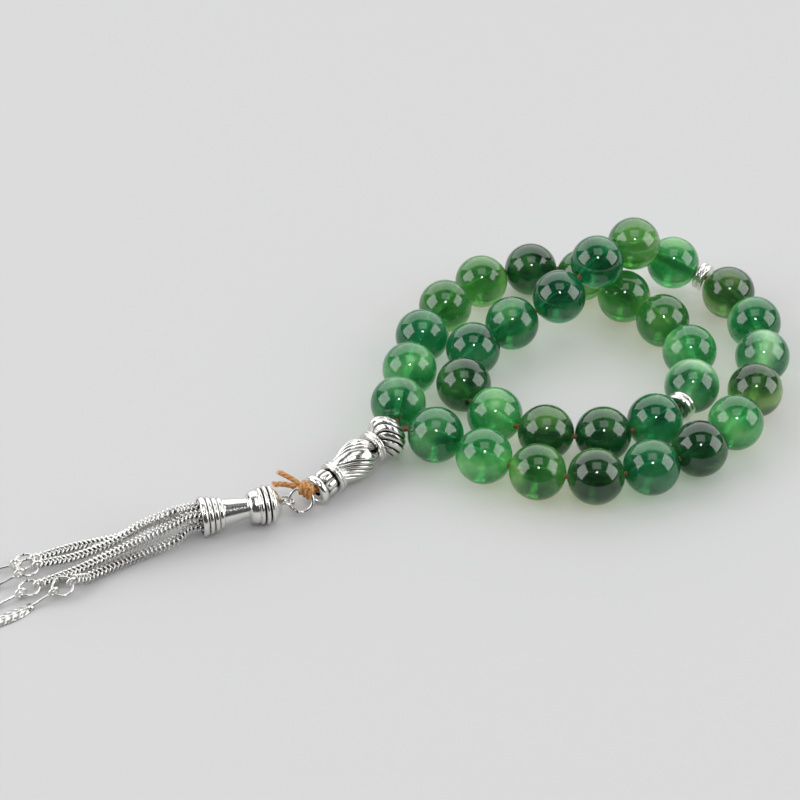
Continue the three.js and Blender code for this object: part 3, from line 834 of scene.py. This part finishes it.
def woven_chain(line):
    """Foxtail chain: bent links, each a quarter turn from the last and through the two before."""
    solid = Solid()
    line = spaced(line, LINK_PITCH)
    tangent, side, other = along(line)
    for i, (p, t, x, y) in enumerate(zip(line, tangent, side, other)):
        roll = 0.02 * i
        x, y = math.cos(roll) * x + math.sin(roll) * y, math.cos(roll) * y - math.sin(roll) * x
        if i % 2:
            x, y = y, -x
        loop = p + LINK_X[:, None] * x + LINK_Y[:, None] * y + LINK_Z[:, None] * t
        verts, faces, _ = sweep(loop, LINK_WIRE, 7, closed=True, normal=t)
        reach = np.linalg.norm((verts - p) - ((verts - p) @ t)[:, None] * t, axis=1)
        solid.add(verts, faces, np.clip((0.66 - reach) / 0.4, 0, 1))
    return solid


BOX_FACES = [(0, 3, 2, 1), (4, 5, 6, 7), (0, 1, 5, 4), (1, 2, 6, 5), (2, 3, 7, 6), (3, 0, 4, 7)]


def leaf_charm(root, direction, eye_centre, eye_axis):
    """A cast leaf: eye, thin stem, square shoulder and a ribbed blade with a raised midrib."""
    solid = Solid()
    up = Z
    flat = unit(vec(direction[0], direction[1], 0))
    across = unit(np.cross(up, flat))
    length, half, ribs = 12.0, 1.35, 9
    n, m = 96, 25
    u = np.linspace(0, 1, n)
    width = half * np.sin(np.pi * u ** 0.72).clip(0) ** 0.8 * (1 - 0.25 * u) + 0.22 * (1 - u) ** 3
    width = np.maximum(width, 0.05)
    v = np.linspace(-1, 1, m)
    rib = 0.5 + 0.5 * np.cos(2 * np.pi * (u[:, None] * ribs - 1.0 * np.abs(v[None, :])))
    crown = 0.42 * (1 - np.abs(v[None, :]) ** 2.5)
    midrib = 0.2 * np.exp(-(v[None, :] / 0.13) ** 2)
    side_rib = 0.14 * rib * (1 - np.exp(-(v[None, :] / 0.25) ** 2)) * (1 - np.abs(v[None, :]) ** 6)
    height = 0.16 + crown * 0.5 + midrib + side_rib
    height = height * np.clip(np.minimum(u[:, None] * 14, (1 - u[:, None]) * 14), 0.25, 1)
    edge = np.abs(np.repeat(v[None, :], n, 0)) > 0.995
    height = np.where(edge, 0.12, height)
    outline = (root + flat * (u[:, None, None] * length)
               + across * (v[None, :, None] * width[:, None, None]))
    top = outline + up * height[:, :, None]
    top[..., 2] -= root[2]
    bottom = outline
    bottom[..., 2] = 0.0
    verts = np.vstack([top.reshape(-1, 3), bottom.reshape(-1, 3)])
    faces = grid_faces(n, m, False, False)
    faces += [tuple(reversed(f)) for f in grid_faces(n, m, False, False, n * m)]
    rim = [i for i in range(m)] + [i * m + m - 1 for i in range(1, n)] \
        + [(n - 1) * m + j for j in range(m - 2, -1, -1)] + [i * m for i in range(n - 2, 0, -1)]
    for a, b in zip(rim, rim[1:] + rim[:1]):
        faces.append((b, a, a + n * m, b + n * m))
    groove = np.clip((1 - rib) * (1 - np.exp(-(v[None, :] / 0.22) ** 2)) * 0.6, 0, 1)
    solid.add(verts, faces, np.concatenate([groove.ravel(), np.full(n * m, 0.15)]))
    stem_root = root + flat * 0.5
    stem_root[2] = 0.34
    stem_top = eye_centre + unit(root + vec(0, 0, 0.3) - eye_centre) * EYE_R
    middle = (stem_root + stem_top) / 2
    line = spaced(catmull([stem_top, middle, stem_root, stem_root + flat * 1.2], 8), 0.25)
    solid.add(*sweep(line, 0.27, 12))
    # The square shoulder where the blade begins.
    shoulder = [vec(root[0], root[1], 0) + flat * dx + across * dy + up * dz
                for dz in (0.02, 0.62)
                for dx, dy in ((-0.25, -0.532), (0.45, -0.644), (0.45, 0.644), (-0.25, 0.532))]
    solid.add(np.array(shoulder), BOX_FACES)
    side = unit(np.cross(eye_axis, direction))
    loop = ring_line(eye_centre, unit(direction), side, EYE_R, points=44)
    solid.add(*sweep(loop, EYE_WIRE, 12, closed=True, normal=unit(eye_axis)))
    return solid


for n, chain in enumerate(CHAINS, 1):
    angle = math.radians(chain["angle"])
    start = on_cap(0.3) + 1.78 * (math.cos(angle) * mouth_side + math.sin(angle) * mouth_up)
    tilt = math.radians(chain["tilt"])
    normal = vec(0, -math.sin(tilt), math.cos(tilt))
    ring_centre = np.array(chain["ring"], float)
    last = np.array(chain["route"][-1], float)
    toward = last - ring_centre
    toward = unit(toward - normal * np.dot(toward, normal))
    hold = ring_centre + toward * RING_R
    chain_end = hold + toward * (EYE_R + 0.1)
    inner = on_cap(4.0) + 0.9 * (math.cos(angle) * mouth_side + math.sin(angle) * mouth_up)
    route = [start, start - 2.5 * CAP] + [np.array(p, float) for p in chain["route"]] + [chain_end]
    line = np.vstack([catmull([inner, start], 2)[:-1], catmull(route, 12)])
    line[:, 2] = np.maximum(line[:, 2], CHAIN_RADIUS + 0.05)  # it lies on the floor, not in it
    solid = woven_chain(line)
    tangent = unit(np.cross(normal, toward))
    eye = ring_line(hold, toward, normal, EYE_R, EYE_R * 0.9, 44)
    solid.add(*sweep(eye, EYE_WIRE, 12, closed=True, normal=tangent))
    piece = solid.piece(f"woven_chain_{n}", SILVER_CHAIN)
    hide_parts(f"chain_{n}")
    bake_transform(piece)
    wire = ring_line(ring_centre, toward, unit(np.cross(normal, toward)), RING_R, points=90)
    radius = np.full(90, RING_WIRE)
    radius[20] = radius[21] = 0.21
    verts, faces, _ = sweep(wire, radius, 12, closed=True, normal=normal)
    joint_line = np.repeat((RING_WIRE - radius) * 20, 12)
    ring = Solid().add(verts, faces, joint_line).piece(f"end_ring_{n}_wire", SILVER_WIRE)
    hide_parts(f"end_ring_{n}")
    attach(ring, f"end_ring_{n}")
    out = math.radians(chain["charm_at"])
    outward = vec(math.cos(out), math.sin(out), 0)
    outward = unit(outward - normal * np.dot(outward, normal))
    charm_point = ring_centre + outward * RING_R
    way = unit(vec(chain["charm"][0], chain["charm"][1], 0))
    eye_axis = np.cross(normal, outward)
    root = charm_point + way * (EYE_R + CHARM_STEM)
    root[2] = 0.0
    charm = leaf_charm(root, way, charm_point, eye_axis).piece(f"leaf_charm_{n}", SILVER)
    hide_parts(f"charm_{n}")
    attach(charm, f"charm_{n}")

# ---- Floor ----
FLOOR_HALF = 3.0  # metres
FLOOR_LEVEL = -2e-5
floor_mesh = bpy.data.meshes.new("floor")
corners = [(x * FLOOR_HALF, y * FLOOR_HALF, FLOOR_LEVEL) for x, y in ((-1, -1), (1, -1), (1, 1), (-1, 1))]
floor_mesh.from_pydata(corners, [], [(0, 1, 2, 3)])
floor = bpy.data.objects.new("floor", floor_mesh)
bpy.context.scene.collection.objects.link(floor)
floor_look, _, shader, _ = new_material("pale_floor")
shader.inputs["Base Color"].default_value = (0.542, 0.542, 0.546, 1)
shader.inputs["Roughness"].default_value = 0.5
shader.inputs["Specular IOR Level"].default_value = 0.0
floor_mesh.materials.append(floor_look)


# ---- Studio light ----
AIM = Vector((0.03, 0.01, 0.0))


def softbox(name, at, width, height, power):
    data = bpy.data.lights.new(name, "AREA")
    data.shape = "RECTANGLE"
    data.size, data.size_y = width, height
    data.energy = power
    lamp = bpy.data.objects.new(name, data)
    lamp.location = at
    lamp.rotation_euler = (AIM - Vector(at)).to_track_quat("-Z", "Y").to_euler()
    bpy.context.scene.collection.objects.link(lamp)


softbox("overhead", (0.03, -0.10, 1.0), 0.58, 0.52, 1.5)
softbox("left_box", (-0.85, -0.12, 0.48), 0.80, 0.80, 7.0)
softbox("right_box", (0.91, -0.12, 0.48), 0.80, 0.80, 7.0)
softbox("back_tent", (0.03, 1.10, 0.78), 3.6, 1.6, 30.5)
softbox("spark", (0.03, -0.55, 0.85), 0.12, 0.12, 1.4)
world = bpy.data.worlds.new("studio")
world.use_nodes = True
world.node_tree.nodes["Background"].inputs[0].default_value = (0.92, 0.95, 1.0, 1)
world.node_tree.nodes["Background"].inputs[1].default_value = 0.07
bpy.context.scene.world = world
bpy.context.scene.view_settings.view_transform = "Standard"
